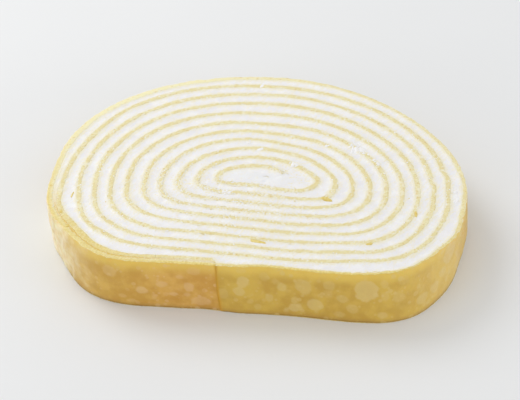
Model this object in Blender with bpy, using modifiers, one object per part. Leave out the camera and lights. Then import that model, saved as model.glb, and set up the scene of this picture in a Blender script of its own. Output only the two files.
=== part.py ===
"""A slice of mille crepe roll lying on its cut face.

One thin crepe is rolled up with whipped cream between its turns, and the roll
is cut across, so the cut face shows a spiral of crepe edge in white cream.
The roll has settled on one side: its front is flat and its back is round.

Two solids: the crepe, one sheet from the core to the seam on the front, and the
cream, which fills everything between its turns.  Units are metres, +Z is up,
the flat front faces -Y, and the origin is under the middle of the slice.
"""
import math
from collections import namedtuple

import bmesh
import bpy

NAME = "mille_crepe_cake"
MM = 0.001

# The slice and its sheet.
HEIGHT = 18.0 * MM
CREPE_THICKNESS = 1.5 * MM
GAP = 0.3 * MM
STEPS_PER_TURN = 52

# The spiral turns round its eye.  A place along the sheet is a number of turns:
# a whole number is on the right of the eye, a quarter more at the back, a half
# more on the left, and three quarters more at the front.
SHEET_START = 0.12
SHEET_END = 10.717

# The turn under the loose end: where it comes up against the last turn, and
# where it steps out again, past the seam, to become the outermost turn itself.
TUCK_START = 9.50
TUCK_FULL = 9.575
SEAM_START = 9.7185
SEAM_FULL = 9.727

# Cross sections of the roll: how far a ring reaches right, left, back and front
# of the eye, in millimetres, and how square its four corners are, from 1 for a
# straight diagonal through 2 for an ellipse.
Ring = namedtuple("Ring", "right left back front square_br square_bl square_fr square_fl")
CORE = Ring(13.0, 15.4, 6.7, 4.3, 1.44, 1.72, 1.83, 6.0)
MIDDLE = Ring(35.2, 37.9, 26.6, 20.8, 1.69, 1.99, 2.87, 4.86)
OUTER = Ring(54.8, 57.9, 46.0, 37.6, 1.87, 2.20, 2.86, 4.06)
OUTERMOST = Ring(60.1, 65.5, 51.8, 42.3, 1.8, 2.1, 3.3, 3.7)
INNER_RINGS = ((CORE, 0.6), (MIDDLE, 4.8), (OUTER, 9.0))

# Bulges, by direction from the eye in degrees.  The first ones grow with the
# turn's number, and shape the shoulders and corners of every inner turn.
Bulge = namedtuple("Bulge", "direction spread height")
INNER_BULGES = (
    Bulge(185.0, 9.2, 2.0 * MM),
    Bulge(321.0, 5.0, 1.4 * MM),
    Bulge(331.0, 7.4, 1.7 * MM),
    Bulge(351.0, 6.3, 0.9 * MM),
)
OUTERMOST_BULGES = (
    Bulge(208.3, 6.4, -2.2 * MM),
    Bulge(226.5, 7.1, 2.2 * MM),
    Bulge(266.0, 5.0, 0.5 * MM),
    Bulge(283.0, 22.0, -2.2 * MM),
    Bulge(332.6, 6.0, -1.6 * MM),
)
# Dents and lumps that only a few turns share, the middle one named.
Lump = namedtuple("Lump", "direction spread turn turns height")
LUMPS = (
    Lump(83.0, 20.0, 3.3, 1.3, -1.5 * MM),
    Lump(96.0, 18.0, 5.3, 1.1, -1.6 * MM),
    Lump(200.0, 11.0, 2.15, 1.3, 1.6 * MM),
    Lump(223.0, 8.0, 8.4, 1.3, 1.6 * MM),
    Lump(342.0, 8.0, 2.8, 1.3, 1.6 * MM),
    Lump(333.0, 9.0, 0.95, 0.35, 1.0 * MM),
    Lump(337.0, 8.0, 1.95, 0.4, 0.9 * MM),
    Lump(203.0, 9.0, 7.6, 1.2, -0.6 * MM),
)
# How far the foot of the roll has sagged outwards, or is tucked in where the
# height is negative, for a point this far from the eye.
SAGS = (
    Bulge(325.0, 35.0, 2.3 * MM),
    Bulge(346.0, 8.5, -2.7 * MM),
    Bulge(216.0, 5.5, 0.6 * MM),
    Bulge(276.0, 7.0, 0.8 * MM),
    Bulge(299.0, 9.0, -0.4 * MM),
    Bulge(316.0, 5.0, 0.5 * MM),
)
SAG_RADIUS = 60.0 * MM

CREPE_COLOUR = (0.72, 0.48, 0.16, 1.0)
CREAM_COLOUR = (0.87, 0.87, 0.87, 1.0)


def smoothstep(value, start, end):
    """0 before start, 1 after end, and a smooth rise between them."""
    part = min(max((value - start) / (end - start), 0.0), 1.0)
    return part * part * (3.0 - 2.0 * part)


def bell(offset, spread):
    return math.exp(-0.5 * (offset / spread) ** 2)


def swell(bulge, direction):
    """How far a bulge lifts a point in this direction from the eye."""
    offset = (direction - bulge.direction + 180.0) % 360.0 - 180.0
    return bulge.height * bell(offset, bulge.spread)


def ring_radius(ring, direction):
    """A ring's reach from the eye, in four superellipse quarters."""
    across = math.cos(math.radians(direction))
    along = math.sin(math.radians(direction))
    if along >= 0.0:
        power = ring.square_br if across >= 0.0 else ring.square_bl
    else:
        power = ring.square_fr if across >= 0.0 else ring.square_fl
    half_width = ring.right if across >= 0.0 else ring.left
    half_depth = ring.back if along >= 0.0 else ring.front
    total = (abs(across) / half_width) ** power + (abs(along) / half_depth) ** power
    return total ** (-1.0 / power) * MM


def inner_radius(turn):
    """The sheet's distance from the eye in its even turns."""
    direction = 360.0 * turn
    radius = 0.0
    for ring, level in INNER_RINGS:
        share = 1.0
        for other, other_level in INNER_RINGS:
            if other is not ring:
                share *= (turn - other_level) / (level - other_level)
        radius += share * ring_radius(ring, direction)
    outer_level = INNER_RINGS[-1][1]
    for bulge in INNER_BULGES:
        radius += swell(bulge, direction) * turn / outer_level
    for lump in LUMPS:
        radius += swell(lump, direction) * bell(turn - lump.turn, lump.turns)
    return radius


def outermost_radius(turn):
    direction = 360.0 * turn
    bulges = sum(swell(bulge, direction) for bulge in OUTERMOST_BULGES)
    return ring_radius(OUTERMOST, direction) + bulges


def point_at(radius, turn):
    angle = 2.0 * math.pi * turn
    return radius * math.cos(angle), radius * math.sin(angle)


def outermost_point(turn, inset):
    """A point of the last turn, or of a layer lying inside it."""
    small = 0.001
    x, y = point_at(outermost_radius(turn), turn)
    ahead = point_at(outermost_radius(turn + small), turn + small)
    behind = point_at(outermost_radius(turn - small), turn - small)
    along_x, along_y = ahead[0] - behind[0], ahead[1] - behind[1]
    scale = inset / math.hypot(along_x, along_y)
    return x - along_y * scale, y + along_x * scale


def sheet_point(turn):
    """The middle of the sheet: even turns, then the tuck, then the last turn."""
    tucked = smoothstep(turn, TUCK_START, TUCK_FULL)
    freed = smoothstep(turn, SEAM_START, SEAM_FULL)
    inside = point_at(inner_radius(turn), turn)
    outside = outermost_point(turn, (CREPE_THICKNESS + GAP) * (1.0 - freed))
    return tuple(a + (b - a) * tucked for a, b in zip(inside, outside))


def sheet_path(start, end):
    """Points along the sheet at even steps, at both ends and at the step out."""
    first = math.floor(start * STEPS_PER_TURN) + 1
    last = math.ceil(end * STEPS_PER_TURN) - 1
    turns = {step / STEPS_PER_TURN for step in range(first, last + 1)}
    turns.update(turn for turn in (SEAM_START, SEAM_FULL) if start < turn < end)
    return [sheet_point(turn) for turn in sorted(turns | {start, end})]


def new_material(name, colour, roughness):
    material = bpy.data.materials.new(name)
    material.use_nodes = True
    shader = material.node_tree.nodes["Principled BSDF"]
    shader.inputs["Base Color"].default_value = colour
    shader.inputs["Roughness"].default_value = roughness
    shader.inputs["Metallic"].default_value = 0.0
    material.diffuse_color = colour
    return material


def add_object(name, bm, collection):
    bmesh.ops.recalc_face_normals(bm, faces=bm.faces)
    mesh = bpy.data.meshes.new(name)
    bm.to_mesh(mesh)
    bm.free()
    piece = bpy.data.objects.new(name, mesh)
    collection.objects.link(piece)
    return piece


def lift(bm, raised, height):
    tops = [item for item in raised["geom"] if isinstance(item, bmesh.types.BMVert)]
    bmesh.ops.translate(bm, verts=tops, vec=(0.0, 0.0, height))


def add_sheet(name, path, low, high, thickness, collection):
    """A standing strip along the path, thickened to both sides."""
    bm = bmesh.new()
    feet = [bm.verts.new((x, y, low)) for x, y in path]
    edges = [bm.edges.new(pair) for pair in zip(feet, feet[1:])]
    lift(bm, bmesh.ops.extrude_edge_only(bm, edges=edges), high - low)
    piece = add_object(name, bm, collection)
    thicken = piece.modifiers.new("Thickness", "SOLIDIFY")
    thicken.thickness = thickness
    thicken.offset = 0.0
    thicken.use_even_offset = True
    return piece


def add_filling(name, outline, collection):
    """A solid of the slice's height inside the outline."""
    bm = bmesh.new()
    base = bm.faces.new([bm.verts.new((x, y, 0.0)) for x, y in outline])
    lift(bm, bmesh.ops.extrude_face_region(bm, geom=[base]), HEIGHT)
    return add_object(name, bm, collection)


def cut(piece, cutter):
    cutter.hide_render = True
    cutter.display_type = "WIRE"
    boolean = piece.modifiers.new("Less " + cutter.name, "BOOLEAN")
    boolean.operation = "DIFFERENCE"
    boolean.object = cutter


def add_crepe(collection):
    path = sheet_path(SHEET_START, SHEET_END)
    crepe = add_sheet("crepe", path, 0.0, HEIGHT, CREPE_THICKNESS, collection)
    crepe.data.materials.append(new_material("crepe", CREPE_COLOUR, 0.55))
    return crepe


def add_cream(collection, cutters):
    """Cream out to the last turn, less the sheet and the gap on its two sides."""
    seam = math.floor(SHEET_END * STEPS_PER_TURN) / STEPS_PER_TURN
    cream = add_filling("cream", sheet_path(seam - 1.0, seam), collection)
    cream.data.materials.append(new_material("cream", CREAM_COLOUR, 0.5))

    # The room for the sheet is cut in two spans, because the last turn's room
    # runs into the room of the turn tucked under it.
    overshoot = 2.0 * MM
    end_gap = 0.005
    split = 10.3
    spans = ((SHEET_START - end_gap, split), (split - end_gap, SHEET_END + end_gap))
    for number, (start, end) in enumerate(spans, 1):
        name = "room_for_crepe_%d" % number
        path = sheet_path(start, end)
        width = CREPE_THICKNESS + 2.0 * GAP
        cut(cream, add_sheet(name, path, -overshoot, HEIGHT + overshoot, width, cutters))
    return cream


def bake(piece):
    """Put the result of the piece's modifiers into its own mesh."""
    depsgraph = bpy.context.evaluated_depsgraph_get()
    mesh = bpy.data.meshes.new_from_object(piece.evaluated_get(depsgraph))
    piece.modifiers.clear()
    piece.data = mesh


def sag(piece):
    """Move each point away from the eye where the foot of the roll has sagged."""
    for vert in piece.data.vertices:
        x, y, z = vert.co
        radius = math.hypot(x, y)
        direction = math.degrees(math.atan2(y, x))
        share = (radius / SAG_RADIUS) * (1.0 - z / HEIGHT)
        scale = 1.0 + share * sum(swell(foot, direction) for foot in SAGS) / radius
        vert.co = (x * scale, y * scale, z)


def centre_of(piece):
    """The middle of the piece's box, in plan."""
    xs = [vert.co.x for vert in piece.data.vertices]
    ys = [vert.co.y for vert in piece.data.vertices]
    return (min(xs) + max(xs)) / 2.0, (min(ys) + max(ys)) / 2.0


def main():
    for old in list(bpy.data.objects):
        bpy.data.objects.remove(old)
    parts = bpy.data.collections.new(NAME)
    cutters = bpy.data.collections.new("cutters")
    bpy.context.scene.collection.children.link(parts)
    bpy.context.scene.collection.children.link(cutters)

    crepe = add_crepe(parts)
    cream = add_cream(parts, cutters)
    for piece in (crepe, cream):
        bake(piece)
        sag(piece)

    middle_x, middle_y = centre_of(crepe)
    for piece in list(parts.objects) + list(cutters.objects):
        piece.location = (-middle_x, -middle_y, 0.0)


main()
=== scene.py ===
"""The looks of a slice of mille crepe roll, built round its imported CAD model.

The crepe is one long thin sheet wound in a spiral, with whipped cream between its
turns.  Its cut edges show on the top and underneath, and its browned skin shows
on the wall of the last turn.  Everything is in metres, +Z up.

Places are given along the sheet, in turns round the eye of the spiral: .0 is on
the right, .25 at the back, .5 on the left and .75 at the front.  Turn 0 is at
the eye, and the sheet ends after nearly eleven turns at the seam in the front.
"""
import math
from collections import namedtuple

import bmesh
import bpy
import numpy as np
from mathutils import Matrix, Vector


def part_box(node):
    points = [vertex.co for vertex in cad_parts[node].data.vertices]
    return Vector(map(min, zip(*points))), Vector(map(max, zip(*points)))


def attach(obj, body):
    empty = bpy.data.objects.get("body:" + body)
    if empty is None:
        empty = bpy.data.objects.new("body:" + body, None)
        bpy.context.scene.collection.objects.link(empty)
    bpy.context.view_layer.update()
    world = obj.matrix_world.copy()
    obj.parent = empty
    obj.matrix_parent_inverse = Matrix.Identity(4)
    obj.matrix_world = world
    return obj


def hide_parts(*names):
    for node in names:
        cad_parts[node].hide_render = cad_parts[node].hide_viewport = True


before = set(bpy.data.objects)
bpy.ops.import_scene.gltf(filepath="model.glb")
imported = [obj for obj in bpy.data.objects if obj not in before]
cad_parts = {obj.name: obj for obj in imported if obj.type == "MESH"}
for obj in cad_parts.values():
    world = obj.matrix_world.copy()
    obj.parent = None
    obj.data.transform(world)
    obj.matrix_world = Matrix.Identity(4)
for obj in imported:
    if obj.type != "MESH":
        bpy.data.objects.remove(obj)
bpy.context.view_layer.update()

MM = 0.001
SEED = 20
LOW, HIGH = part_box("crepe")
HEIGHT = HIGH.z - LOW.z
THICKNESS = 1.5 * MM

# ---------------------------------------------------------------- the spiral
# Nearly the same route as the CAD sheet's, which starts a little further out.
# In the tables, directions and their spreads are in degrees round the eye, places
# and lengths along the spiral in turns, and other sizes in millimetres.
SHEET_START = 0.07
SHEET_END = 10.7164
# From the tuck to the seam the sheet lies further in, under its own outer end.
TUCK_START = 9.50
TUCK_FULL = 9.575
SEAM_START = 9.7095
SEAM_FULL = 9.7165
TUCK_DEPTH = THICKNESS + 0.3 * MM
# The seam's foot lies this many degrees to the right of its top.
SEAM_LEAN = 1.5

Ring = namedtuple("Ring", "right left back front square_br square_bl square_fr square_fl")
CORE = Ring(13.0, 15.4, 6.7, 4.3, 1.44, 1.72, 1.83, 6.0)
MIDDLE = Ring(35.2, 37.9, 26.6, 20.8, 1.69, 1.99, 2.87, 4.86)
OUTER = Ring(54.8, 57.9, 46.0, 37.6, 1.87, 2.20, 2.86, 4.06)
OUTERMOST = Ring(60.1, 65.5, 51.8, 42.3, 1.8, 2.1, 3.3, 3.7)
INNER_RINGS = ((CORE, 0.6), (MIDDLE, 4.8), (OUTER, 9.0))

Bulge = namedtuple("Bulge", "direction spread height")
INNER_BULGES = (
    Bulge(185.0, 9.2, 2.0),
    Bulge(321.0, 5.0, 1.4),
    Bulge(331.0, 7.4, 1.7),
    Bulge(351.0, 6.3, 0.9),
)
OUTERMOST_BULGES = (
    Bulge(208.3, 6.4, -2.2),
    Bulge(226.5, 7.1, 2.2),
    Bulge(266.0, 5.0, 0.5),
    Bulge(283.0, 22.0, -2.2),
    Bulge(332.6, 6.0, -1.6),
)
Lump = namedtuple("Lump", "direction spread turn turns height")
LUMPS = (
    Lump(83.0, 20.0, 3.3, 1.3, -1.5),
    Lump(96.0, 18.0, 5.3, 1.1, -1.6),
    Lump(200.0, 11.0, 2.15, 1.3, 1.6),
    Lump(223.0, 8.0, 8.4, 1.3, 1.6),
    Lump(342.0, 8.0, 2.8, 1.3, 1.6),
    Lump(333.0, 9.0, 0.95, 0.35, 1.0),
    Lump(337.0, 8.0, 1.95, 0.4, 0.9),
    Lump(203.0, 9.0, 7.6, 1.2, -0.6),
)
# How far the foot of the wall stands out or in.
FEET = (
    Bulge(325.0, 35.0, 2.3),
    Bulge(346.0, 8.5, -2.1),
    Bulge(216.0, 5.5, 0.6),
    Bulge(203.0, 4.5, -0.7),
    Bulge(252.0, 5.0, -0.8),
    Bulge(276.0, 7.0, 0.8),
    Bulge(299.0, 9.0, -0.4),
    Bulge(316.0, 5.0, 0.5),
)
FOOT_RADIUS = 60.0 * MM
# Places where the sheet steps out or in, over this many millimetres of its length.
Kink = namedtuple("Kink", "turn length height")
KINKS = (
    Kink(8.0165, 1.2, -0.45),
    Kink(8.004, 1.8, 0.35),
    Kink(9.0315, 1.2, -0.45),
    Kink(9.02, 2.0, 0.3),
    Kink(6.62, 2.0, 0.4),
    Kink(8.60, 2.2, -0.4),
    Kink(8.602, 8.0, -0.25),
    Kink(9.590, 10.0, -0.38),
    Kink(10.335, 1.6, -0.3),
    Kink(10.345, 2.4, 0.3),
)


def smoothstep(value, start, end):
    part = np.clip((value - start) / (end - start), 0.0, 1.0)
    return part * part * (3.0 - 2.0 * part)


def bell(offset, spread):
    return np.exp(-0.5 * (offset / spread) ** 2)


def facing(direction, middle, spread):
    """1 where a direction in degrees is the middle one, fading to 0 either side."""
    return bell((direction - middle + 180.0) % 360.0 - 180.0, spread)


def swell(bulge, direction):
    """A bulge's height in this direction, in metres."""
    return bulge.height * MM * facing(direction, bulge.direction, bulge.spread)


def ring_radius(ring, direction):
    across = np.cos(np.radians(direction))
    along = np.sin(np.radians(direction))
    back = np.where(across >= 0.0, ring.square_br, ring.square_bl)
    front = np.where(across >= 0.0, ring.square_fr, ring.square_fl)
    power = np.where(along >= 0.0, back, front)
    half_width = np.where(across >= 0.0, ring.right, ring.left)
    half_depth = np.where(along >= 0.0, ring.back, ring.front)
    total = (np.abs(across) / half_width) ** power + (np.abs(along) / half_depth) ** power
    return total ** (-1.0 / power) * MM


def inner_radius(turn):
    """The inner turns: the rings, blended from one to the next, and their bulges."""
    direction = 360.0 * turn
    radius = np.zeros_like(turn)
    for ring, level in INNER_RINGS:
        share = 1.0
        for other, other_level in INNER_RINGS:
            if other is not ring:
                share = share * (turn - other_level) / (level - other_level)
        radius += share * ring_radius(ring, direction)
    for bulge in INNER_BULGES:
        radius += swell(bulge, direction) * turn / INNER_RINGS[-1][1]
    for lump in LUMPS:
        radius += swell(lump, direction) * bell(turn - lump.turn, lump.turns)
    return radius


def outermost_radius(turn):
    direction = 360.0 * turn
    return ring_radius(OUTERMOST, direction) + sum(swell(b, direction) for b in OUTERMOST_BULGES)


def point_at(radius, turn):
    angle = 2.0 * math.pi * turn
    return np.stack([radius * np.cos(angle), radius * np.sin(angle)], axis=-1)


def outward_of(points):
    """Unit vectors square to the way the points run, away from the eye."""
    along = np.gradient(points, axis=0)
    along /= np.maximum(np.linalg.norm(along, axis=1, keepdims=True), 1e-12)
    return np.stack([along[:, 1], -along[:, 0]], axis=-1)


# ------------------------------------------------------------------- noise
def lattice(seed, cells):
    """Random numbers for grid corners, the same ones on every run."""
    mixed = cells[..., 0] * 73856093 ^ cells[..., 1] * 19349663 ^ cells[..., 2] * 83492791
    mixed = (mixed ^ (seed * 2654435761)) & 0xFFFFFFFF
    mixed = ((mixed ^ (mixed >> 15)) * 2246822519) & 0xFFFFFFFF
    mixed = ((mixed ^ (mixed >> 13)) * 3266489917) & 0xFFFFFFFF
    return ((mixed ^ (mixed >> 16)) & 0xFFFFFFFF) / 4294967295.0 * 2.0 - 1.0


def noise(points, size, seed):
    """Smooth noise from -1 to 1 at points of up to three coordinates."""
    points = np.atleast_2d(np.asarray(points, dtype=float))
    if points.shape[1] < 3:
        points = np.pad(points, ((0, 0), (0, 3 - points.shape[1])))
    scaled = points / size + 17.3
    corner = np.floor(scaled).astype(np.int64)
    part = scaled - corner
    part = part * part * (3.0 - 2.0 * part)
    total = np.zeros(len(points))
    for step in np.ndindex(2, 2, 2):
        share = np.prod(np.where(np.array(step) == 1, part, 1.0 - part), axis=1)
        total += share * lattice(seed, corner + np.array(step))
    return total


def noise_along(length, size, seed):
    return noise(np.asarray(length, dtype=float)[:, None], size, seed)


# ----------------------------------------------------------- the sheet's route
ROUTE_STEP = 0.0005


def plain_route(turn, seam=True):
    """The middle of the sheet at these turns, without its small waves."""
    tucked = smoothstep(turn, TUCK_START, TUCK_FULL)[:, None]
    freed = smoothstep(turn, SEAM_START, SEAM_FULL)[:, None] if seam else 0.0
    last = point_at(outermost_radius(turn), turn)
    last = last - outward_of(last) * TUCK_DEPTH * (1.0 - freed)
    inside = point_at(inner_radius(np.minimum(turn, 9.8)), turn)
    return inside + (last - inside) * tucked


def make_route():
    """Turns, lengths, points and outward normals at fine steps along the sheet."""
    turns = np.arange(SHEET_START - 0.05, SHEET_END + 0.05, ROUTE_STEP)
    points = plain_route(turns)
    length = np.concatenate([[0.0], np.cumsum(np.linalg.norm(np.diff(points, axis=0), axis=1))])
    outward = outward_of(plain_route(turns, seam=False))
    calm = 1.0 - 0.6 * smoothstep(turns, 9.3, 9.5)
    waves = 0.16 * noise_along(length, 14.0 * MM, SEED) + 0.14 * noise_along(length, 4.5 * MM, SEED + 5)
    waves = waves * calm
    for kink in KINKS:
        waves += kink.height * bell(length - np.interp(kink.turn, turns, length), kink.length * MM)
    points = points + outward * waves[:, None] * MM
    return turns, length, points, outward


ROUTE_TURNS, ROUTE_LENGTH, ROUTE_POINTS, ROUTE_NORMALS = make_route()


def on_route(turn, values):
    return np.stack([np.interp(turn, ROUTE_TURNS, values[:, k]) for k in range(2)], axis=-1)


def length_at(turn):
    return np.interp(turn, ROUTE_TURNS, ROUTE_LENGTH)


def stations(start, end, step):
    """Turns at even lengths along the sheet."""
    first, last = length_at(start), length_at(end)
    count = max(int(round((last - first) / step)), 2)
    return np.interp(np.linspace(first, last, count + 1), ROUTE_LENGTH, ROUTE_TURNS)


def beside(turn, offset):
    """A point this far outside the middle of the sheet."""
    turn = np.atleast_1d(turn)
    return on_route(turn, ROUTE_POINTS) + on_route(turn, ROUTE_NORMALS) * np.atleast_1d(offset)[:, None]


def thickness_at(turn, uneven=1.0):
    """The sheet is thickest at its sides and thinnest at the front.  With uneven
    at 0 its small unevenness is left out."""
    direction = 360.0 * turn
    length = length_at(turn)
    share = 0.98 + 0.14 * facing(direction, 180.0, 40.0) + 0.14 * facing(direction, 0.0, 34.0)
    share += 0.10 * facing(direction, 90.0, 40.0) - 0.08 * facing(direction, 225.0, 20.0)
    share += 0.15 * bell(turn - 0.5, 0.9) + 0.38 * bell(turn - 9.590, 0.030)
    share -= 0.34 * facing(direction, 300.0, 34.0) * smoothstep(turn, 9.71, 9.725)
    outer = smoothstep(turn, 9.73, 9.76)
    share += (0.24 * facing(direction, 142.0, 24.0) - 0.18 * facing(direction, 48.0, 26.0)) * outer
    waves = 0.18 * noise_along(length, 8.0 * MM, SEED + 31) + 0.20 * noise_along(length, 3.0 * MM, SEED + 32)
    share *= 1.0 + uneven * waves
    share *= 0.35 + 0.65 * smoothstep(turn, SHEET_START, SHEET_START + 0.16)
    return THICKNESS * share


def sagged(points):
    """Points in the slice moved out or in where the foot of the roll is."""
    radius = np.maximum(np.hypot(points[:, 0], points[:, 1]), 1e-9)
    direction = np.degrees(np.arctan2(points[:, 1], points[:, 0]))
    share = (radius / FOOT_RADIUS) * (1.0 - np.clip(points[:, 2] / HEIGHT, 0.0, 1.0))
    scale = 1.0 + share * sum(swell(foot, direction) for foot in FEET) / radius
    return np.stack([points[:, 0] * scale, points[:, 1] * scale, points[:, 2]], axis=-1)


def leaned(points):
    """Points moved where the seam slants: its foot lies further right than its top."""
    radius = np.hypot(points[:, 0], points[:, 1])
    direction = np.degrees(np.arctan2(points[:, 1], points[:, 0]))
    low = 1.0 - np.clip(points[:, 2] / HEIGHT, 0.0, 1.0)
    turned = SEAM_LEAN * low ** 2 * facing(direction, 360.0 * SHEET_END, 9.0)
    turned *= smoothstep(radius, 34.0 * MM, 40.0 * MM)
    angle = np.radians(direction + turned)
    return np.stack([radius * np.cos(angle), radius * np.sin(angle), points[:, 2]], axis=-1)


def eye_place():
    """Where the eye of the spiral lies: the CAD box's middle less the route's."""
    turns = np.arange(SHEET_END - 1.0, SHEET_END, ROUTE_STEP)
    rim = plain_route(turns)
    rim = rim + outward_of(rim) * THICKNESS / 2.0
    rims = np.concatenate([sagged(np.column_stack([rim, np.full(len(rim), z)])) for z in (0.0, HEIGHT)])
    middle = (rims.min(axis=0) + rims.max(axis=0)) / 2.0
    return (LOW.x + HIGH.x) / 2.0 - middle[0], (LOW.y + HIGH.y) / 2.0 - middle[1]


EYE = eye_place()


def unevenness(points):
    """How far the knife left the cut face above or below its level."""
    flat = points[:, :2]
    return (0.09 * noise(flat, 17.0 * MM, SEED + 41) + 0.04 * noise(flat, 6.0 * MM, SEED + 42)) * MM


# ------------------------------------------------------------- making meshes
def grid_faces(rows, columns):
    """Quads over a grid of points, row after row, joined round in a tube."""
    row = np.arange(rows - 1)[:, None] * columns
    column = np.arange(columns)[None, :]
    ahead = (column + 1) % columns
    quads = [row + column, row + ahead, row + columns + ahead, row + columns + column]
    return np.stack([quad + 0 * row for quad in quads], axis=-1).reshape(-1, 4)


def end_faces(rows, columns):
    return [list(range(columns - 1, -1, -1)), list(range((rows - 1) * columns, rows * columns))]


def make_piece(name, points, faces, materials, material_numbers=None):
    """A smooth mesh object of these points, placed in the slice."""
    points = leaned(sagged(points)) + np.array([EYE[0], EYE[1], LOW.z])
    mesh = bpy.data.meshes.new(name)
    mesh.vertices.add(len(points))
    mesh.vertices.foreach_set("co", points.ravel())
    sizes = np.array([len(face) for face in faces])
    corners = np.concatenate([np.asarray(face) for face in faces])
    mesh.loops.add(len(corners))
    mesh.loops.foreach_set("vertex_index", corners)
    mesh.polygons.add(len(sizes))
    mesh.polygons.foreach_set("loop_start", np.concatenate([[0], np.cumsum(sizes)[:-1]]))
    for material in materials:
        mesh.materials.append(material)
    if material_numbers is not None:
        mesh.polygons.foreach_set("material_index", material_numbers)
    mesh.update(calc_edges=True)
    mesh.validate()
    mesh.shade_smooth()
    piece = bpy.data.objects.new(name, mesh)
    bpy.context.scene.collection.objects.link(piece)
    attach(piece, "root")
    return piece


def set_attribute(piece, name, values):
    layer = piece.data.attributes.new(name, "FLOAT", "POINT")
    layer.data.foreach_set("value", np.ascontiguousarray(values, dtype=np.float32))


# ---------------------------------------------------------------- materials
KNIFE_WAY = math.radians(62.0)


class Material:
    """A Principled material and the nodes that feed it."""

    def __init__(self, name, roughness=0.5, scatter=0.0, scatter_radius=(1.0, 0.7, 0.4), scatter_scale=0.001,
                 specular=0.4):
        self.material = bpy.data.materials.new(name)
        self.material.use_nodes = True
        self.nodes = self.material.node_tree.nodes
        self.links = self.material.node_tree.links
        self.shader = self.nodes["Principled BSDF"]
        self.shader.inputs["Roughness"].default_value = roughness
        self.shader.inputs["Subsurface Weight"].default_value = scatter
        self.shader.inputs["Subsurface Radius"].default_value = scatter_radius
        self.shader.inputs["Subsurface Scale"].default_value = scatter_scale
        self.shader.inputs["Specular IOR Level"].default_value = specular
        self.place = self.nodes.new("ShaderNodeTexCoord").outputs["Object"]

    def put(self, value, socket):
        if isinstance(value, bpy.types.NodeSocket):
            self.links.new(value, socket)
        else:
            socket.default_value = value

    def noise(self, size, detail=2.0, place=None):
        """Noise whose features are about this many metres across."""
        node = self.nodes.new("ShaderNodeTexNoise")
        node.inputs["Scale"].default_value = 1.0 / size
        node.inputs["Detail"].default_value = detail
        self.links.new(self.place if place is None else place, node.inputs["Vector"])
        return node.outputs["Fac"]

    def along_knife(self, times):
        """Places drawn out this many times along the knife's way."""
        node = self.nodes.new("ShaderNodeMapping")
        node.vector_type = "TEXTURE"
        node.inputs["Rotation"].default_value = (0.0, 0.0, KNIFE_WAY)
        node.inputs["Scale"].default_value = (times, 1.0, 1.0)
        self.links.new(self.place, node.inputs["Vector"])
        return node.outputs["Vector"]

    def cells(self, size):
        """Distance from the middles of cells about this many metres across."""
        node = self.nodes.new("ShaderNodeTexVoronoi")
        node.inputs["Scale"].default_value = 1.0 / size
        self.links.new(self.place, node.inputs["Vector"])
        return node.outputs["Distance"]

    def attribute(self, name):
        node = self.nodes.new("ShaderNodeAttribute")
        node.attribute_name = name
        return node.outputs["Fac"]

    def band(self, value, low, high, bottom=0.0, top=1.0):
        """value taken from low..high to bottom..top, smoothly."""
        node = self.nodes.new("ShaderNodeMapRange")
        node.interpolation_type = "SMOOTHSTEP"
        self.put(value, node.inputs["Value"])
        for socket, number in (("From Min", low), ("From Max", high), ("To Min", bottom), ("To Max", top)):
            node.inputs[socket].default_value = number
        return node.outputs["Result"]

    def sum(self, operation, first, second):
        node = self.nodes.new("ShaderNodeMath")
        node.operation = operation
        self.put(first, node.inputs[0])
        self.put(second, node.inputs[1])
        return node.outputs["Value"]

    def mix(self, share, first, second):
        """Colours mixed by share."""
        node = self.nodes.new("ShaderNodeMix")
        node.data_type = "RGBA"
        self.put(share, node.inputs["Factor"])
        for value, socket in ((first, node.inputs[6]), (second, node.inputs[7])):
            self.put(value if isinstance(value, bpy.types.NodeSocket) else (*value, 1.0), socket)
        return node.outputs[2]

    def colour(self, value):
        self.links.new(value, self.shader.inputs["Base Color"])

    def roughness(self, value):
        self.links.new(value, self.shader.inputs["Roughness"])

    def bump(self, height, distance, strength):
        node = self.nodes.new("ShaderNodeBump")
        node.inputs["Distance"].default_value = distance
        node.inputs["Strength"].default_value = strength
        self.links.new(height, node.inputs["Height"])
        self.links.new(node.outputs["Normal"], self.shader.inputs["Normal"])


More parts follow.
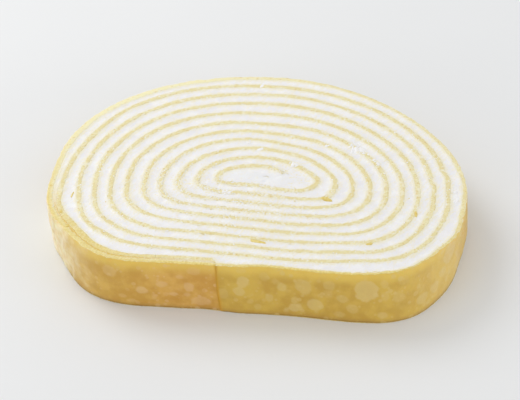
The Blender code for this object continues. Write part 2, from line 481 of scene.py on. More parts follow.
def cream_material(name, scatter, painted_highlight):
    """Near-white, faintly mottled, streaked by the knife and yellow with crumb
    close to the crepe."""
    made = Material(name, 0.5, scatter, (1.0, 0.85, 0.7), 0.0008)
    drags = made.noise(0.0009, 3.0, made.along_knife(3.5))
    clouds = made.noise(0.006, 2.0)
    tint = made.mix(made.band(clouds, 0.35, 0.65), (0.828, 0.817, 0.828), (0.868, 0.857, 0.857))
    tint = made.mix(made.band(made.noise(0.0028, 3.0), 0.50, 0.70, 0.0, 0.75), tint, (0.915, 0.908, 0.898))
    tint = made.mix(made.sum("MULTIPLY", made.attribute("core"), 0.4), tint, (0.810, 0.840, 0.845))
    # Painted light: a lighter copy of the cream, a painted highlight that also offsets the shade between
    # loose strokes.
    tint = made.mix(painted_highlight, tint, (0.935, 0.928, 0.918))
    fine = made.noise(0.00045, 2.0)
    crumbs = made.sum("ADD", made.sum("MULTIPLY", drags, 0.5), made.sum("MULTIPLY", fine, 0.5))
    near = made.attribute("near")
    reach = made.sum("ADD", crumbs, made.sum("MULTIPLY", near, 0.36))
    share = made.sum("MULTIPLY", made.band(reach, 0.52, 0.84), 0.82)
    tint = made.mix(share, tint, (0.865, 0.805, 0.590))
    grains = made.sum("ADD", made.noise(0.0006, 2.0), made.sum("MULTIPLY", made.attribute("grain"), 0.10))
    tint = made.mix(made.band(grains, 0.68, 0.74, 0.0, 0.6), tint, (0.840, 0.760, 0.470))
    # Painted shade: golden-brown in the thin cream pressed between the last turns, most at the left front
    # corner, for the shadow in the fold's crease.
    painted_crease_shade = made.sum("MULTIPLY", made.attribute("painted_crease_shade"), made.band(fine, 0.35, 0.60, 0.55, 0.95))
    tint = made.mix(painted_crease_shade, tint, (0.730, 0.510, 0.110))
    made.colour(tint)
    made.roughness(made.band(drags, 0.3, 0.7, 0.42, 0.62))
    made.bump(made.sum("ADD", drags, made.sum("MULTIPLY", fine, 0.5)), 0.00010, 0.6)
    return made.material


def cut_material(name, scatter):
    """The cut edge of the crepe: pale yellow crumb, with cream dragged over it."""
    made = Material(name, 0.55, scatter, (1.0, 0.8, 0.5), 0.0006)
    crumb = made.noise(0.00075, 3.0)
    patches = made.noise(0.0050, 2.0)
    base = made.mix(made.band(crumb, 0.32, 0.68), (0.760, 0.655, 0.325), (0.852, 0.800, 0.515))
    base = made.mix(made.band(patches, 0.38, 0.62, 0.0, 0.75), base, (0.770, 0.665, 0.335))
    base = made.mix(made.band(made.noise(0.0021, 3.0), 0.53, 0.72, 0.0, 0.60), base, (0.890, 0.850, 0.690))
    base = made.mix(made.attribute("lemon"), base, (0.900, 0.840, 0.520))
    specks = made.sum("ADD", made.noise(0.00095, 3.0), made.sum("MULTIPLY", made.attribute("grain"), 0.03))
    specks = made.band(specks, 0.58, 0.68, 0.0, 0.65)
    base = made.mix(specks, base, (0.690, 0.500, 0.190))
    # Streaks of cream, thickest at the sheet's faces and where the cut is crumbly.
    drags = made.noise(0.00055, 3.0, made.along_knife(3.0))
    fine = made.noise(0.00045, 2.0)
    streaks = made.sum("ADD", made.sum("MULTIPLY", drags, 0.6), made.sum("MULTIPLY", fine, 0.4))
    rim = made.band(made.attribute("rim"), 0.45, 1.0)
    streaks = made.sum("ADD", streaks, made.sum("MULTIPLY", rim, 0.14))
    streaks = made.sum("ADD", streaks, made.sum("MULTIPLY", made.attribute("grain"), 0.09))
    base = made.mix(made.band(streaks, 0.54, 0.74, 0.0, 0.85), base, (0.870, 0.860, 0.800))
    # Golden-brown on the cut edge: along the front rim of the last turn, and at the left front corner as
    # painted shade in the fold's crease.
    golden = made.mix(made.band(crumb, 0.35, 0.65), (0.720, 0.545, 0.135), (0.820, 0.665, 0.215))
    base = made.mix(made.sum("MULTIPLY", made.attribute("golden"), 0.92), base, golden)
    made.colour(base)
    made.roughness(made.band(crumb, 0.3, 0.7, 0.45, 0.68))
    made.bump(made.sum("ADD", crumb, streaks), 0.00012, 0.6)
    return made.material


def skin_material():
    """The browned face of the crepe, with paler round spots where it lay off the pan."""
    made = Material("crepe_skin", 0.45, 0.25, (1.0, 0.6, 0.2), 0.0012)
    height = made.attribute("height")
    mottle = made.noise(0.0050, 3.0)
    yellow = made.mix(made.band(mottle, 0.35, 0.65), (0.562, 0.348, 0.054), (0.642, 0.428, 0.072))
    orange = made.mix(made.band(mottle, 0.35, 0.65), (0.592, 0.316, 0.054), (0.690, 0.410, 0.092))
    base = made.mix(made.attribute("orange"), yellow, orange)
    # Painted light: a more saturated gold along the top of the wall, for light shining through its thin top
    # edge, and at the front wall's right end, which faces the right-hand lamp.
    base = made.mix(made.attribute("painted_wall_light"), base, (0.800, 0.570, 0.110))
    # Painted shade: darker brown toward the foot of the wall, darkest in a thin line along the floor, for the
    # contact shadow.
    base = made.mix(made.band(height, 0.12, 0.0, 0.0, 0.55), base, (0.400, 0.210, 0.050))
    base = made.mix(made.band(height, 0.045, 0.015, 0.0, 0.45), base, (0.200, 0.110, 0.020))
    pale = made.mix(made.attribute("orange"), (0.690, 0.520, 0.190), (0.740, 0.500, 0.240))
    spots = made.attribute("spot")
    base = made.mix(made.sum("MULTIPLY", spots, 0.70), base, pale)
    for size, share in ((0.0030, 0.45), (0.0017, 0.32)):
        dots = made.band(made.cells(size), 0.34, 0.20, 0.0, share)
        dots = made.sum("MULTIPLY", dots, made.band(made.noise(3.0 * size), 0.42, 0.6))
        base = made.mix(dots, base, pale)
    # Pale paint on the wall: the creases of the folds, and painted light where the left front corner faces
    # the lamps and a little at the front wall's right end.
    creased = made.band(made.noise(0.0024, 3.0), 0.36, 0.64)
    pressed = made.mix(creased, (0.860, 0.710, 0.410), (0.960, 0.890, 0.660))
    base = made.mix(made.attribute("fold"), base, pressed)
    base = made.mix(made.attribute("seam"), base, (0.640, 0.310, 0.012))
    made.colour(base)
    fine = made.noise(0.0007, 3.0)
    made.roughness(made.band(fine, 0.3, 0.7, 0.38, 0.55))
    pits = made.sum("ADD", made.sum("MULTIPLY", fine, 0.5), made.sum("MULTIPLY", mottle, 0.7))
    made.bump(pits, 0.00025, 0.5)
    return made.material


def brown_material():
    """Scraps of the browned skin."""
    made = Material("browned_scrap", 0.5)
    mottle = made.noise(0.0009, 3.0)
    base = made.mix(made.band(mottle, 0.35, 0.65), (0.715, 0.530, 0.130), (0.810, 0.675, 0.260))
    made.colour(base)
    made.roughness(made.band(mottle, 0.3, 0.7, 0.4, 0.6))
    made.bump(mottle, 0.0002, 0.6)
    return made.material


def floor_material():
    made = Material("floor", 0.5, specular=0.2)
    mottle = made.noise(0.05, 2.0)
    made.colour(made.mix(mottle, (0.795, 0.803, 0.805), (0.810, 0.818, 0.820)))
    made.roughness(made.band(made.noise(0.004), 0.3, 0.7, 0.55, 0.65))
    made.bump(made.noise(0.002), 0.00002, 0.2)
    return made.material


CUT, SKIN = 0, 1
CUT_SCATTER = 0.10
CREAM_SCATTER = 0.12
LOOSE_PAINTED_HIGHLIGHT = 0.6
crepe_cut = cut_material("crepe_cut_edge", CUT_SCATTER)
crepe_skin = skin_material()
whipped_cream = cream_material("whipped_cream", CREAM_SCATTER, 0.0)
# Loose bits lie against each other, so light isn't scattered inside them.
loose_crepe = cut_material("loose_crepe", 0.0)
# The loose cream is also painted whiter than the filling: a painted highlight that offsets the shade between
# its strokes.
loose_cream = cream_material("loose_cream", 0.0, LOOSE_PAINTED_HIGHLIGHT)
browned = brown_material()

# ---------------------------------------------------------------- the crepe
# Places across the sheet, and how far its edge drops there.
EDGE_ACROSS = (-0.5, -0.45, -0.22, 0.0, 0.22, 0.45, 0.5)
EDGE_DROP = (0.16, 0.03, 0.0, 0.0, 0.0, 0.03, 0.16)
# Spots on the wall: height of the middle, half width and half height.
Spot = namedtuple("Spot", "turn height width tall strength")
SPOTS = (
    Spot(9.7445, 12.5, 1.8, 2.2, 0.9), Spot(9.740, 8.8, 1.8, 1.7, 0.8), Spot(9.743, 16.6, 1.4, 0.9, 0.4),
    Spot(9.722, 7.5, 1.5, 2.0, 0.4), Spot(9.769, 14.5, 1.3, 1.5, 0.35), Spot(9.789, 11.3, 1.4, 1.5, 0.7),
    Spot(9.782, 13.0, 1.0, 1.0, 0.4), Spot(9.812, 12.0, 2.4, 2.6, 0.65), Spot(9.775, 6.8, 1.2, 1.5, 0.6),
    Spot(9.8025, 6.5, 1.0, 1.4, 0.6), Spot(9.803, 3.6, 2.0, 1.5, 0.9), Spot(9.8226, 5.4, 2.1, 2.4, 0.85),
    Spot(9.7935, 2.3, 0.9, 0.8, 0.5), Spot(9.761, 3.2, 1.0, 1.2, 0.5), Spot(9.7525, 5.2, 1.0, 1.0, 0.5),
    Spot(9.835, 13.3, 1.8, 1.7, 0.5), Spot(9.8457, 8.8, 1.7, 1.5, 0.6), Spot(9.834, 10.3, 1.3, 1.5, 0.35),
    Spot(9.853, 5.3, 1.7, 1.6, 0.55), Spot(9.864, 11.8, 3.4, 3.6, 0.95), Spot(9.8775, 14.3, 1.0, 1.4, 0.5),
    Spot(9.877, 10.0, 1.2, 1.6, 0.5), Spot(9.887, 8.8, 1.8, 1.8, 0.5), Spot(9.8745, 3.1, 1.3, 1.2, 0.7),
    Spot(9.843, 2.8, 1.6, 1.0, 0.5), Spot(9.891, 14.5, 1.8, 1.6, 0.3), Spot(9.9065, 5.2, 2.0, 1.8, 0.75),
    Spot(9.921, 6.2, 1.8, 2.0, 0.9), Spot(9.905, 9.2, 1.3, 1.3, 0.3), Spot(9.940, 14.0, 3.0, 3.4, 1.0),
    Spot(9.931, 9.2, 1.8, 1.8, 0.8), Spot(9.936, 5.0, 0.7, 0.8, 0.6), Spot(9.954, 10.0, 1.2, 1.2, 0.8),
    Spot(10.628, 13.0, 2.2, 2.0, 0.5), Spot(10.649, 7.0, 1.6, 1.3, 0.8), Spot(10.664, 9.6, 1.6, 1.2, 0.6),
    Spot(10.6795, 12.8, 1.1, 0.8, 0.5), Spot(10.687, 8.8, 1.5, 1.8, 0.7), Spot(10.673, 5.9, 1.4, 0.7, 0.7),
    Spot(10.685, 5.9, 1.0, 0.7, 0.5), Spot(10.696, 3.6, 2.6, 1.8, 0.6), Spot(10.693, 15.2, 1.9, 1.4, 0.4),
    Spot(10.636, 3.8, 1.2, 0.8, 0.5), Spot(10.6415, 2.2, 1.5, 0.7, 0.5), Spot(10.6575, 4.5, 0.7, 1.3, 0.4),
    Spot(10.591, 7.5, 1.2, 2.5, 0.6), Spot(10.610, 9.0, 1.4, 1.8, 0.4), Spot(10.602, 4.0, 1.8, 1.2, 0.5),
)


OTHER_SPOTS = 150


def all_spots():
    """The spots of the front, and others like them round the rest of the wall."""
    chance = np.random.default_rng(SEED)
    spots = list(SPOTS)
    for _ in range(OTHER_SPOTS):
        size = 0.7 + 1.0 * chance.gamma(1.6, 0.55)
        spots.append(Spot(chance.uniform(9.955, 10.60), chance.uniform(1.2, 15.8), min(size, 3.2),
                          min(size * chance.uniform(0.8, 1.25), 3.4), chance.uniform(0.35, 1.0)))
    return spots


def spot_mask(length, height):
    """How much of a spot lies at each place on the wall, 0 to 1."""
    place = np.column_stack([length, height])
    ragged = 1.0 + 0.20 * noise(place, 1.7 * MM, SEED + 61) + 0.10 * noise(place, 0.7 * MM, SEED + 62)
    mask = np.zeros(len(length))
    for spot in all_spots():
        across = (length - length_at(spot.turn)) / (spot.width * MM)
        tall = (height - spot.height * MM) / (spot.tall * MM)
        near = (np.abs(across) < 1.5) & (np.abs(tall) < 1.5)
        reach = np.hypot(across[near], tall[near]) * ragged[near]
        edge = 0.55 / (spot.width + spot.tall)
        mask[near] = np.maximum(mask[near], spot.strength * (1.0 - smoothstep(reach, 1.0 - edge, 1.0 + edge)))
    return mask


def wall_swell(turns, length, height):
    """How far the skin of the last turn stands out at each place on the wall, and
    how much of a fold is there, 0 to 1."""
    part = np.clip(height / HEIGHT, 0.0, 1.0)
    place = np.column_stack([length, height])
    out = 0.18 * np.sin(math.pi * part)
    out += 0.20 * noise(place, 13.0 * MM, SEED + 51) + 0.08 * noise(place, 4.5 * MM, SEED + 52)
    out += 0.025 * noise(place, 1.3 * MM, SEED + 53)
    # Folds at the left front corner, where the end of the sheet is pressed on.
    folds = bell(turns - 10.572, 0.020)
    slant = length - 0.25 * height
    crease = np.abs(noise(np.column_stack([slant, 0.15 * height]), 2.6 * MM, SEED + 54))
    out += folds * (0.45 * (1.0 - crease) ** 3 - 0.2)
    # The wall right of the seam stands a little proud, most at its foot.
    after = np.where(turns > SEAM_FULL - 0.004, length - length_at(SEAM_FULL), 1.0)
    out += (0.12 + 0.35 * (1.0 - part)) * np.exp(-np.maximum(after, 0.0) / (7.0 * MM)) * (turns < 9.9)
    out -= 0.25 * np.exp(-height / (0.7 * MM))
    return out * MM, folds * (1.0 - crease) ** 2


def sheet_piece(name, start, end, step, wall_rows):
    """A length of the sheet.  Its profile runs over the top edge from the inner
    face, down the outer face and back under the lower edge."""
    turns = stations(start, end, step)
    rows = len(turns)
    edge_across, edge_drop = np.array(EDGE_ACROSS), np.array(EDGE_DROP) * MM
    wall = (2.0 * edge_drop[-1] - HEIGHT) * np.arange(1, wall_rows + 1) / (wall_rows + 1)
    wall = HEIGHT - edge_drop[-1] + wall
    across = np.concatenate([edge_across, np.full(wall_rows, 0.5), edge_across[::-1]])
    height = np.concatenate([HEIGHT - edge_drop, wall, edge_drop[::-1]])
    columns = len(across)
    turn = np.repeat(turns, columns)
    across = np.tile(across, rows)
    height = np.tile(height, rows)
    length = length_at(turn)
    middle = on_route(turn, ROUTE_POINTS)
    outward = on_route(turn, ROUTE_NORMALS)
    direction = 360.0 * turn

    top = height > HEIGHT / 2.0
    edge = np.minimum(HEIGHT - height, height) < 0.3 * MM
    grain = grain_at(turn)
    # The two faces wander by themselves, most where the cut is crumbly.
    side = np.sign(across)
    last = smoothstep(turn, SHEET_END - 1.05, SHEET_END - 0.95)
    ragged = last * np.maximum(facing(direction, 330.0, 22.0), 0.7 * facing(direction, 212.0, 20.0))
    torn = np.where(top, 0.8 + 0.9 * grain + ragged, 0.3) * edge
    wander = 0.16 * noise(np.column_stack([length, side * MM, top * MM]), 1.5 * MM, SEED + 1)
    wander += 0.10 * noise(np.column_stack([length, side * MM, top * MM]), 0.7 * MM, SEED + 2)
    thickness = thickness_at(turn)
    thickness += (thickness_at(turn, 0.0) - thickness) * last * (across > 0.0)
    offset = across * thickness + np.abs(across) * 2.0 * wander * torn * MM
    lean = facing(direction, 165.0, 32.0) * last
    offset += np.where(top, lean * (0.25 + 0.35 * across) * MM, 0.0)
    swelling, fold = wall_swell(turn, length, height)
    on_wall = (across > 0.49) & (last > 0.0)
    offset += np.where(on_wall, swelling * last * (0.35 + 0.65 * ~edge), 0.0)
    flat = middle + outward * offset[:, None]

    rough = 0.05 * noise(np.column_stack([flat, top * MM]), 0.9 * MM, SEED + 11)
    rough += 0.05 * noise(np.column_stack([flat, top * MM]), 3.0 * MM, SEED + 12)
    lift = np.where(top, unevenness(flat) + rough * MM, -0.5 * rough * MM)
    lift -= np.where(top, 0.25 * MM * (1.0 - smoothstep(turn, SHEET_START, SHEET_START + 0.10)), 0.0)
    z = np.maximum(height + np.where(edge, lift, 0.0), -0.05 * MM)
    points = np.column_stack([flat, z])

    faces = [list(face) for face in grid_faces(rows, columns)] + end_faces(rows, columns)
    column = np.tile(np.arange(columns), rows - 1)
    edges = len(EDGE_ACROSS)
    cut = (column < edges - 1) | ((column >= edges + wall_rows) & (column < columns - 1))
    numbers = np.concatenate([np.where(cut, CUT, SKIN), [CUT, CUT]])
    piece = make_piece(name, points, faces, (crepe_cut, crepe_skin), numbers)
    set_attribute(piece, "rim", np.abs(across) * 2.0)
    set_attribute(piece, "grain", grain)
    set_attribute(piece, "lemon", last * (0.20 + 0.75 * facing(direction, 145.0, 38.0)))
    # Golden-brown on the last turn's cut edge along the front, toward its outer face; and at the left front
    # corner, on the turn inside it, painted shade in the fold's crease.
    front_rim = np.maximum(facing(direction, 275.0, 45.0), facing(direction, 215.0, 22.0))
    corner = facing(direction, 219.0, 13.0) * smoothstep(turn, 9.50, 9.57)
    outer_part = np.maximum(smoothstep(across, -0.50, 0.30), corner)
    golden = last * np.minimum(1.3 * front_rim, 1.0) * outer_part * (1.0 - 0.3 * corner)
    set_attribute(piece, "golden", np.maximum(golden, 0.75 * corner * (turn < SEAM_START)))
    set_attribute(piece, "height", height / HEIGHT)
    # Painted light: the glow through the thin top of the wall, and the front wall's right end lit by the
    # right-hand lamp.
    painted_wall_light = np.maximum(0.75 * smoothstep(height / HEIGHT, 0.72, 0.97), 0.5 * bell(turn - 9.945, 0.03))
    set_attribute(piece, "painted_wall_light", painted_wall_light)
    set_attribute(piece, "spot", np.where(on_wall, spot_mask(length, height), 0.0))
    orange = 0.5 * smoothstep(turn, 10.56, 10.63) + 0.5 * smoothstep(turn, 10.63, 10.67)
    orange = orange + 0.35 * facing(direction, 350.0, 12.0)
    set_attribute(piece, "orange", np.minimum(orange, 1.0) * last)
    # The fold paint holds the pale creases of the folds, and painted light: the left front corner, which
    # faces the key and left lamps, and a little at the front wall's right end, which faces the right-hand
    # lamp.
    pale = 0.65 * fold + bell(turn - 10.528, 0.024) + 0.12 * bell(turn - 9.945, 0.030)
    set_attribute(piece, "fold", np.where(on_wall, np.minimum(pale, 1.0), 0.0))
    seams = (length_at(SHEET_END), length_at(SEAM_FULL - 0.001))
    seam_gap = np.minimum(np.abs(length - seams[0]), np.abs(length - seams[1]))
    set_attribute(piece, "seam", bell(seam_gap, SEAM_WIDTH) * on_wall)
    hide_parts("crepe")
    return piece


def grain_at(turn):
    """Where the cut is crumbly: the front rows of the inner turns, their left ends
    and the sheet's own start."""
    direction = 360.0 * turn
    front = np.maximum(facing(direction, 268.0, 34.0), facing(direction, 200.0, 22.0))
    return np.maximum(front * bell(turn - 2.6, 1.9), bell(turn - SHEET_START, 0.09))


SEAM_WIDTH = 0.38 * MM
STEP = 0.45 * MM
WALL_STEP = 0.36 * MM
WALL_ROWS = 40
JOIN = 9.66
sheet_piece("crepe_turns", SHEET_START, JOIN, STEP, 1)
sheet_piece("crepe_last_turn", JOIN, SHEET_END, WALL_STEP, WALL_ROWS)

# ---------------------------------------------------------------- the cream
# Points across the ribbon of cream, on top and underneath.
CREAM_ACROSS = 14
CREAM_UNDER = 6
CREAM_END = 9.7125
INSIDE_STEP = 1.0 / 96
# How far the cream reaches into the crepe; how deep it has settled between the
# turns, in millimetres, and how soon away from the crepe; how far out it is yellow
# with crumb; and how far at most it laps over the last turn, in millimetres.
BITE = 0.40 * MM
CREAM_SETTLED = 0.33
SETTLED_REACH = 0.85 * MM
NEAR_REACH = 0.80 * MM
MOST_LAP = 0.80
KNIFE = np.array([math.cos(KNIFE_WAY), math.sin(KNIFE_WAY)])


def cream_border(turn, side):
    """A face of the sheet.  Nearer the eye than the sheet's start there is no
    sheet, and the border is a line that winds on in to the eye."""
    real = np.maximum(turn, SHEET_START)
    start = np.linalg.norm(on_route(np.array([SHEET_START]), ROUTE_POINTS))
    wound = point_at(start * smoothstep(turn, SHEET_START - 1.0, SHEET_START), turn)
    half = (thickness_at(real) / 2.0 - BITE) * smoothstep(turn, SHEET_START - 0.01, SHEET_START + 0.01)
    outward = on_route(real, ROUTE_NORMALS)
    middle = np.where((turn >= SHEET_START)[:, None], on_route(real, ROUTE_POINTS), wound)
    return middle + outward * (side * half)[:, None], outward


def cream_faces(turns, columns):
    """The ribbon's faces.  Where it lies against itself near the eye it has no
    walls, and its top and bottom join up there."""
    rows = len(turns)
    faces = grid_faces(rows, columns)
    column = np.tile(np.arange(columns), rows - 1)
    later = np.repeat(turns[1:], columns)
    inside = (column == columns - 1) & (later <= SHEET_START)
    outside = (column == CREAM_ACROSS - 1) & (later + 1.0 <= SHEET_START)
    return [list(face) for face in faces[~(inside | outside)]] + end_faces(rows, columns)[1:]


def cream_piece():
    """Cream between the turns, as one ribbon that starts at the eye."""
    within = np.arange(SHEET_START - 2.0, SHEET_START, INSIDE_STEP)
    turns = np.concatenate([within, stations(SHEET_START, CREAM_END, STEP)])
    rows = len(turns)
    inner, inner_way = cream_border(turns, 1.0)
    outer, outer_way = cream_border(turns + 1.0, -1.0)
    # At the right front corner the knife has spread cream over the last turn's edge.
    spread = facing(360.0 * turns, 329.0, 17.0) * smoothstep(turns, 8.7, 8.8)
    over_length = length_at(turns + 1.0)
    lap = 0.50 + 0.30 * noise_along(over_length, 1.9 * MM, SEED + 26)
    lap += 0.25 * noise_along(over_length, 0.9 * MM, SEED + 27)
    lap = np.clip(lap, 0.0, MOST_LAP) * spread * MM
    part = 0.5 - 0.5 * np.cos(math.pi * np.linspace(0.0, 1.0, CREAM_ACROSS))
    across = np.tile(np.concatenate([part, np.linspace(1.0, 0.0, CREAM_UNDER)]), rows)
    columns = CREAM_ACROSS + CREAM_UNDER
    top = np.tile(np.arange(columns) < CREAM_ACROSS, rows)
    lap = np.repeat(lap, columns) * top
    inner, inner_way = (np.repeat(side, columns, axis=0) for side in (inner, inner_way))
    outer, outer_way = (np.repeat(side, columns, axis=0) for side in (outer, outer_way))
    outer = outer + outer_way * lap[:, None]
    width = np.linalg.norm(outer - inner, axis=1)
    flat = inner + (outer - inner) * across[:, None]
    turn = np.repeat(turns, columns)

    # The cream has settled between the turns and stands up to the crepe's faces.
    rise = np.full(rows * columns, -CREAM_SETTLED)
    near = np.zeros(rows * columns)
    sides = ((across, 0.0, inner_way, -1.0, np.zeros_like(lap)), (1.0 - across, 1.0, outer_way, 1.0, lap))
    for gap, shift, way, sign, over in sides:
        there = smoothstep(turn + shift, SHEET_START, SHEET_START + 0.03)
        distance = gap * width - BITE - over
        push = sign * (way @ KNIFE)
        rise += there * (CREAM_SETTLED + 0.03 * push) * np.exp(-np.maximum(distance, 0.0) / SETTLED_REACH)
        rise -= there * 0.5 * np.maximum(-distance - over, 0.0) / MM
        rise += there * 0.10 * smoothstep(-distance, 0.0, 0.2 * MM) * smoothstep(over, 0.1 * MM, 0.5 * MM)
        near = np.maximum(near, there * np.exp(-np.maximum(distance + over, 0.0) / NEAR_REACH))
    # Where two turns lie close together the cream between them is thin and full of crumb.
    thin = 1.0 - smoothstep(width, 1.2 * MM, 2.4 * MM)
    rise -= 0.08 * thin
    near = near + 0.7 * thin
    pressed = thin * smoothstep(turn, 9.3, 9.5)
    corner = facing(360.0 * turn, 219.0, 15.0)
    rise -= (0.08 + 0.08 * corner) * pressed
    # The top and the underside take their unevenness from different layers of noise.
    layer = top * 5.0 * MM
    spot = np.column_stack([flat, layer])
    turned = np.column_stack([flat @ KNIFE * 0.25, flat @ np.array([-KNIFE[1], KNIFE[0]]), layer])
    rise += 0.07 * noise(turned, 0.8 * MM, SEED + 21) + 0.06 * noise(spot, 4.0 * MM, SEED + 22)
    rise += 0.05 * noise(spot, 1.3 * MM, SEED + 23)
    rise -= 0.07 * smoothstep(noise(spot, 1.0 * MM, SEED + 24), 0.55, 0.8)
    rough = bell(turn - 8.9995, 0.02) + bell(np.hypot(flat[:, 0], flat[:, 1]), 9.0 * MM)
    rise += 0.14 * rough * noise(spot, 0.8 * MM, SEED + 25)
    z = np.where(top, HEIGHT + unevenness(flat) + rise * MM, 0.10 * MM - 0.5 * rise * MM)
    points = np.column_stack([flat, np.maximum(z, 0.0)])
    piece = make_piece("cream_filling", points, cream_faces(turns, columns), (whipped_cream,))
    middle = point_at(np.array([4.0 * MM]), np.array([0.5]))[0]
    core = bell((flat[:, 0] - middle[0]) / (6.5 * MM), 1.0) * bell((flat[:, 1] - middle[1]) / (2.0 * MM), 1.0)
    set_attribute(piece, "core", core)
    set_attribute(piece, "near", np.where(top, near, 0.0))
    set_attribute(piece, "grain", grain_at(turn) + 0.4 * bell(turn - 0.3, 0.8))
    # Painted shade of the fold's crease, in the thin pressed cream, most at the left front corner.
    set_attribute(piece, "painted_crease_shade", pressed * (0.40 + 0.90 * corner))
    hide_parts("cream")
    # Close the ribbon's own joins near the eye.
    work = bmesh.new()
    work.from_mesh(piece.data)
    bmesh.ops.remove_doubles(work, verts=work.verts, dist=1e-6)
    bmesh.ops.recalc_face_normals(work, faces=work.faces)
    work.to_mesh(piece.data)
    work.free()
    return piece


cream_piece()

# --------------------------------------------- smears, scraps and crumbs on top
# How far out from the sheet's middle they lie, half their sizes, and the way
# they point, in degrees from the sheet's own.
Bit = namedtuple("Bit", "turn offset length width height heading")
Smear = namedtuple("Smear", "turn offset length width")
SMEARS = (
    Smear(5.098, 0.1, 2.9, 1.3),
    Smear(5.106, 2.0, 1.5, 0.8),
    Smear(5.096, -1.5, 1.4, 0.8),
    Smear(5.085, 0.9, 2.0, 1.0),
    Smear(5.056, 0.4, 1.8, 0.7),
    Smear(1.130, 0.0, 1.6, 0.9),
    Smear(8.992, 2.3, 2.2, 0.9),
    Smear(9.004, 2.7, 1.6, 0.7),
    Smear(1.600, 0.2, 1.3, 0.9),
    Smear(2.2985, -0.3, 1.1, 0.7),
    Smear(9.282, 0.2, 1.0, 0.6),
    Smear(3.325, -1.3, 0.9, 0.7),
    Smear(4.1355, 0.0, 0.9, 0.6),
)
SCRAPS = (
    Bit(1.9415, 0.92, 2.0, 0.80, 0.26, 43.8),
    Bit(6.7570, 1.30, 2.8, 0.48, 0.16, 6.0),
    Bit(6.896, 0.8, 1.1, 0.45, 0.20, 0.0),
    Bit(6.962, 0.7, 1.3, 0.42, 0.20, -22.0),
    Bit(8.5435, 2.0, 1.5, 0.30, 0.16, 14.0),
    Bit(6.558, 1.62, 0.25, 0.2, 0.12, 0.0),
    Bit(3.501, 1.0, 0.25, 0.2, 0.12, 0.0),
    Bit(7.0135, -2.0, 0.3, 0.2, 0.12, 40.0),
    Bit(5.9845, 2.1, 0.25, 0.2, 0.12, 0.0),
    Bit(9.563, 0.2, 0.7, 0.5, 0.2, 0.0),
    Bit(10.58, -0.5, 0.7, 0.6, 0.2, 0.0),
    Bit(4.215, -1.0, 0.3, 0.2, 0.12, 0.0),
)


def ball(subdivisions):
    work = bmesh.new()
    bmesh.ops.create_icosphere(work, subdivisions=subdivisions, radius=1.0)
    work.verts.ensure_lookup_table()
    points = np.array([vertex.co for vertex in work.verts])
    faces = np.array([[vertex.index for vertex in face.verts] for face in work.faces])
    work.free()
    return points, faces


def surface_level(places):
    """Height of the cut face at these places, which lie close together."""
    middle = places.mean(axis=0)
    reach = np.linalg.norm(places - middle, axis=1).max() + 4.0 * MM
    route = ROUTE_POINTS[::4]
    route = route[np.linalg.norm(route - middle, axis=1) < reach]
    gap = np.linalg.norm(places[:, None] - route[None], axis=2).min(axis=1) - THICKNESS / 2.0
    settled = 1.0 - np.exp(-np.maximum(gap, 0.0) / SETTLED_REACH)
    return HEIGHT + unevenness(places) - CREAM_SETTLED * MM * settled


def bits_piece(name, bits, subdivisions, lumpy, material, sink, draped=False):
    """Small flattened lumps lying on the cut face, joined in one mesh."""
    shape, faces = ball(subdivisions)
    all_points, all_faces = [], []
    for number, bit in enumerate(bits):
        turn = np.array([bit.turn])
        centre = beside(turn, bit.offset * MM)
        out = on_route(turn, ROUTE_NORMALS)[0]
        turned = math.radians(bit.heading)
        way = out * math.sin(turned) + np.array([-out[1], out[0]]) * math.cos(turned)
        lump = 1.0 + lumpy * noise(shape + number * 7.7, 0.8, SEED + 71)
        lump += 0.4 * lumpy * noise(shape + number * 3.1, 0.35, SEED + 72)
        body = shape * lump[:, None] * np.array([bit.length, bit.width, bit.height]) * MM
        flat = centre + body[:, :1] * way + body[:, 1:2] * np.array([-way[1], way[0]])
        level = surface_level(flat if draped else centre) - sink * bit.height * MM
        all_points.append(np.column_stack([flat, level + body[:, 2]]))
        all_faces.append(faces + number * len(shape))
    all_faces = [list(face) for face in np.concatenate(all_faces)]
    piece = make_piece(name, np.concatenate(all_points), all_faces, (material,))
    return piece


STROKES = 7.0


def smear_bits():
    """Each smear of cream, as flat strokes the way the knife went."""
    chance = np.random.default_rng(SEED + 83)
    bits = []
    for smear in SMEARS:
        out = on_route(np.array([smear.turn]), ROUTE_NORMALS)[0]
        knife = math.degrees(math.atan2(out[0], -out[1]) - KNIFE_WAY)
        per_turn = (length_at(smear.turn + 0.01) - length_at(smear.turn - 0.01)) / 0.02
        for _ in range(int(STROKES * smear.length * smear.width) + 1):
            angle, reach = chance.uniform(0.0, 2.0 * math.pi), math.sqrt(chance.uniform())
            turn = smear.turn + smear.length * MM * reach * math.cos(angle) / per_turn
            offset = smear.offset + smear.width * reach * math.sin(angle)
            wide = chance.uniform(0.22, 0.42) * (1.15 - 0.45 * reach)
            bits.append(Bit(turn, offset, wide * chance.uniform(1.6, 3.4), wide, chance.uniform(0.10, 0.17),
                            knife + chance.normal(0.0, 16.0)))
    return bits


def crumb_bits(count, size, grainy, seed):
    """Crumbs beside the sheet, thickest where the cut is crumbly."""
    chance = np.random.default_rng(seed)
    bits = []
    while len(bits) < count:
        turn = chance.uniform(0.1, 9.5)
        if chance.uniform() > grainy * grain_at(turn) + (1.0 - grainy) * turn / 9.5:
            continue
        across = chance.uniform(0.35, 1.1) * chance.choice((-1.0, 1.0))
        wide = size * chance.uniform(0.5, 1.3)
        long = wide * chance.uniform(1.0, 1.8)
        bits.append(Bit(turn, across, long, wide, wide * 0.6, chance.uniform(-40.0, 40.0)))
    return bits


CRUMBS = 1300
FLECKS = 900
CRUMB_SIZE = 0.15
FLECK_SIZE = 0.20
GRAINY = 0.75


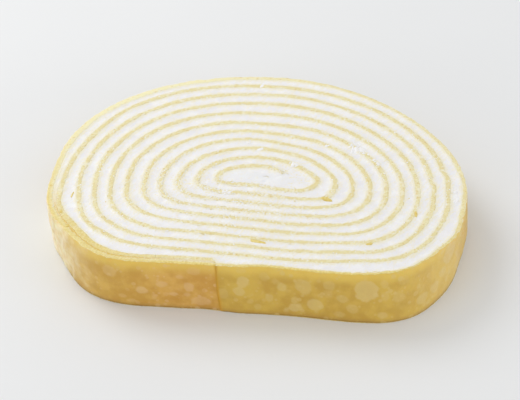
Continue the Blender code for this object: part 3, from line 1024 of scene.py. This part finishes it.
def loose_bits():
    few = 1.0
    bits_piece("cream_smears", smear_bits(), 2, 0.35, loose_cream, 0.25, True)
    bits_piece("browned_scraps", SCRAPS, 3, 0.30, browned, 0.2, True)
    crumbs = crumb_bits(int(CRUMBS * few), CRUMB_SIZE, GRAINY, SEED + 81)
    bits_piece("crepe_crumbs", crumbs, 1, 0.40, loose_crepe, 0.3)
    flecks = crumb_bits(int(FLECKS * few), FLECK_SIZE, GRAINY, SEED + 82)
    flecks = [fleck._replace(offset=fleck.offset * 0.6) for fleck in flecks]
    bits_piece("cream_flecks", flecks, 1, 0.40, loose_cream, 0.4)


loose_bits()


# ------------------------------------------------- floor, light and camera
FLOOR_SIZE = 3.0
FLOOR_GAP = 0.00005
AZIMUTH, ELEVATION, ROLL = math.radians(9.7), math.radians(39.8), math.radians(-1.22)
DISTANCE = 0.52455
AIM_ASIDE, AIM_BACK = -4.5 * MM, 10.2 * MM
SENSOR_WIDTH = 36.0
PICTURE_WIDTH = 520.0
FOCAL_LENGTH = 1640.0


def stage():
    work = bmesh.new()
    bmesh.ops.create_grid(work, x_segments=8, y_segments=8, size=FLOOR_SIZE)
    mesh = bpy.data.meshes.new("floor")
    work.to_mesh(mesh)
    work.free()
    mesh.materials.append(floor_material())
    floor = bpy.data.objects.new("floor", mesh)
    floor.location = (0.0, 0.0, LOW.z - FLOOR_GAP)
    bpy.context.scene.collection.objects.link(floor)


def area_light(name, place, target, size, power, colour=(1.0, 1.0, 1.0)):
    light = bpy.data.lights.new(name, "AREA")
    light.shape = "DISK"
    light.size = size
    light.energy = power
    light.color = colour
    lamp = bpy.data.objects.new(name, light)
    lamp.location = place
    aim = Vector(target) - Vector(place)
    lamp.rotation_euler = aim.to_track_quat("-Z", "Y").to_euler()
    bpy.context.scene.collection.objects.link(lamp)


def lights():
    world = bpy.data.worlds.new("studio")
    bpy.context.scene.world = world
    world.use_nodes = True
    background = world.node_tree.nodes["Background"]
    background.inputs["Color"].default_value = (0.985, 0.99, 1.0, 1.0)
    background.inputs["Strength"].default_value = 0.75
    area_light("key", (-0.56, 0.36, 0.62), (0.0, 0.0, 0.0), 0.55, 2.9, (1.0, 0.99, 0.98))
    area_light("right_fill", (0.75, -0.22, 0.12), (0.03, 0.0, 0.01), 0.4, 1.3, (1.0, 0.99, 0.97))
    area_light("left_fill", (-0.65, -0.65, 0.16), (-0.02, 0.0, 0.01), 0.5, 1.4, (0.97, 0.98, 1.0))


def camera():
    """Looks down on the slice from the front and a little to its right."""
    target = Vector((EYE[0] + AIM_ASIDE, EYE[1] + AIM_BACK, LOW.z))
    back = Vector((math.sin(AZIMUTH) * math.cos(ELEVATION), -math.cos(AZIMUTH) * math.cos(ELEVATION),
                   math.sin(ELEVATION)))
    right = (-back).cross(Vector((0, 0, 1))).normalized()
    up = right.cross(-back)
    x_axis = math.cos(ROLL) * right + math.sin(ROLL) * up
    y_axis = -math.sin(ROLL) * right + math.cos(ROLL) * up
    data = bpy.data.cameras.new("camera")
    data.sensor_width = SENSOR_WIDTH
    data.lens = FOCAL_LENGTH / PICTURE_WIDTH * data.sensor_width
    data.clip_start = 0.01
    viewer = bpy.data.objects.new("camera", data)
    matrix = Matrix((x_axis, y_axis, back)).transposed().to_4x4()
    matrix.translation = target + back * DISTANCE
    viewer.matrix_world = matrix
    bpy.context.scene.collection.objects.link(viewer)
    bpy.context.scene.camera = viewer


stage()
lights()
camera()
bpy.context.scene.view_settings.view_transform = "Standard"
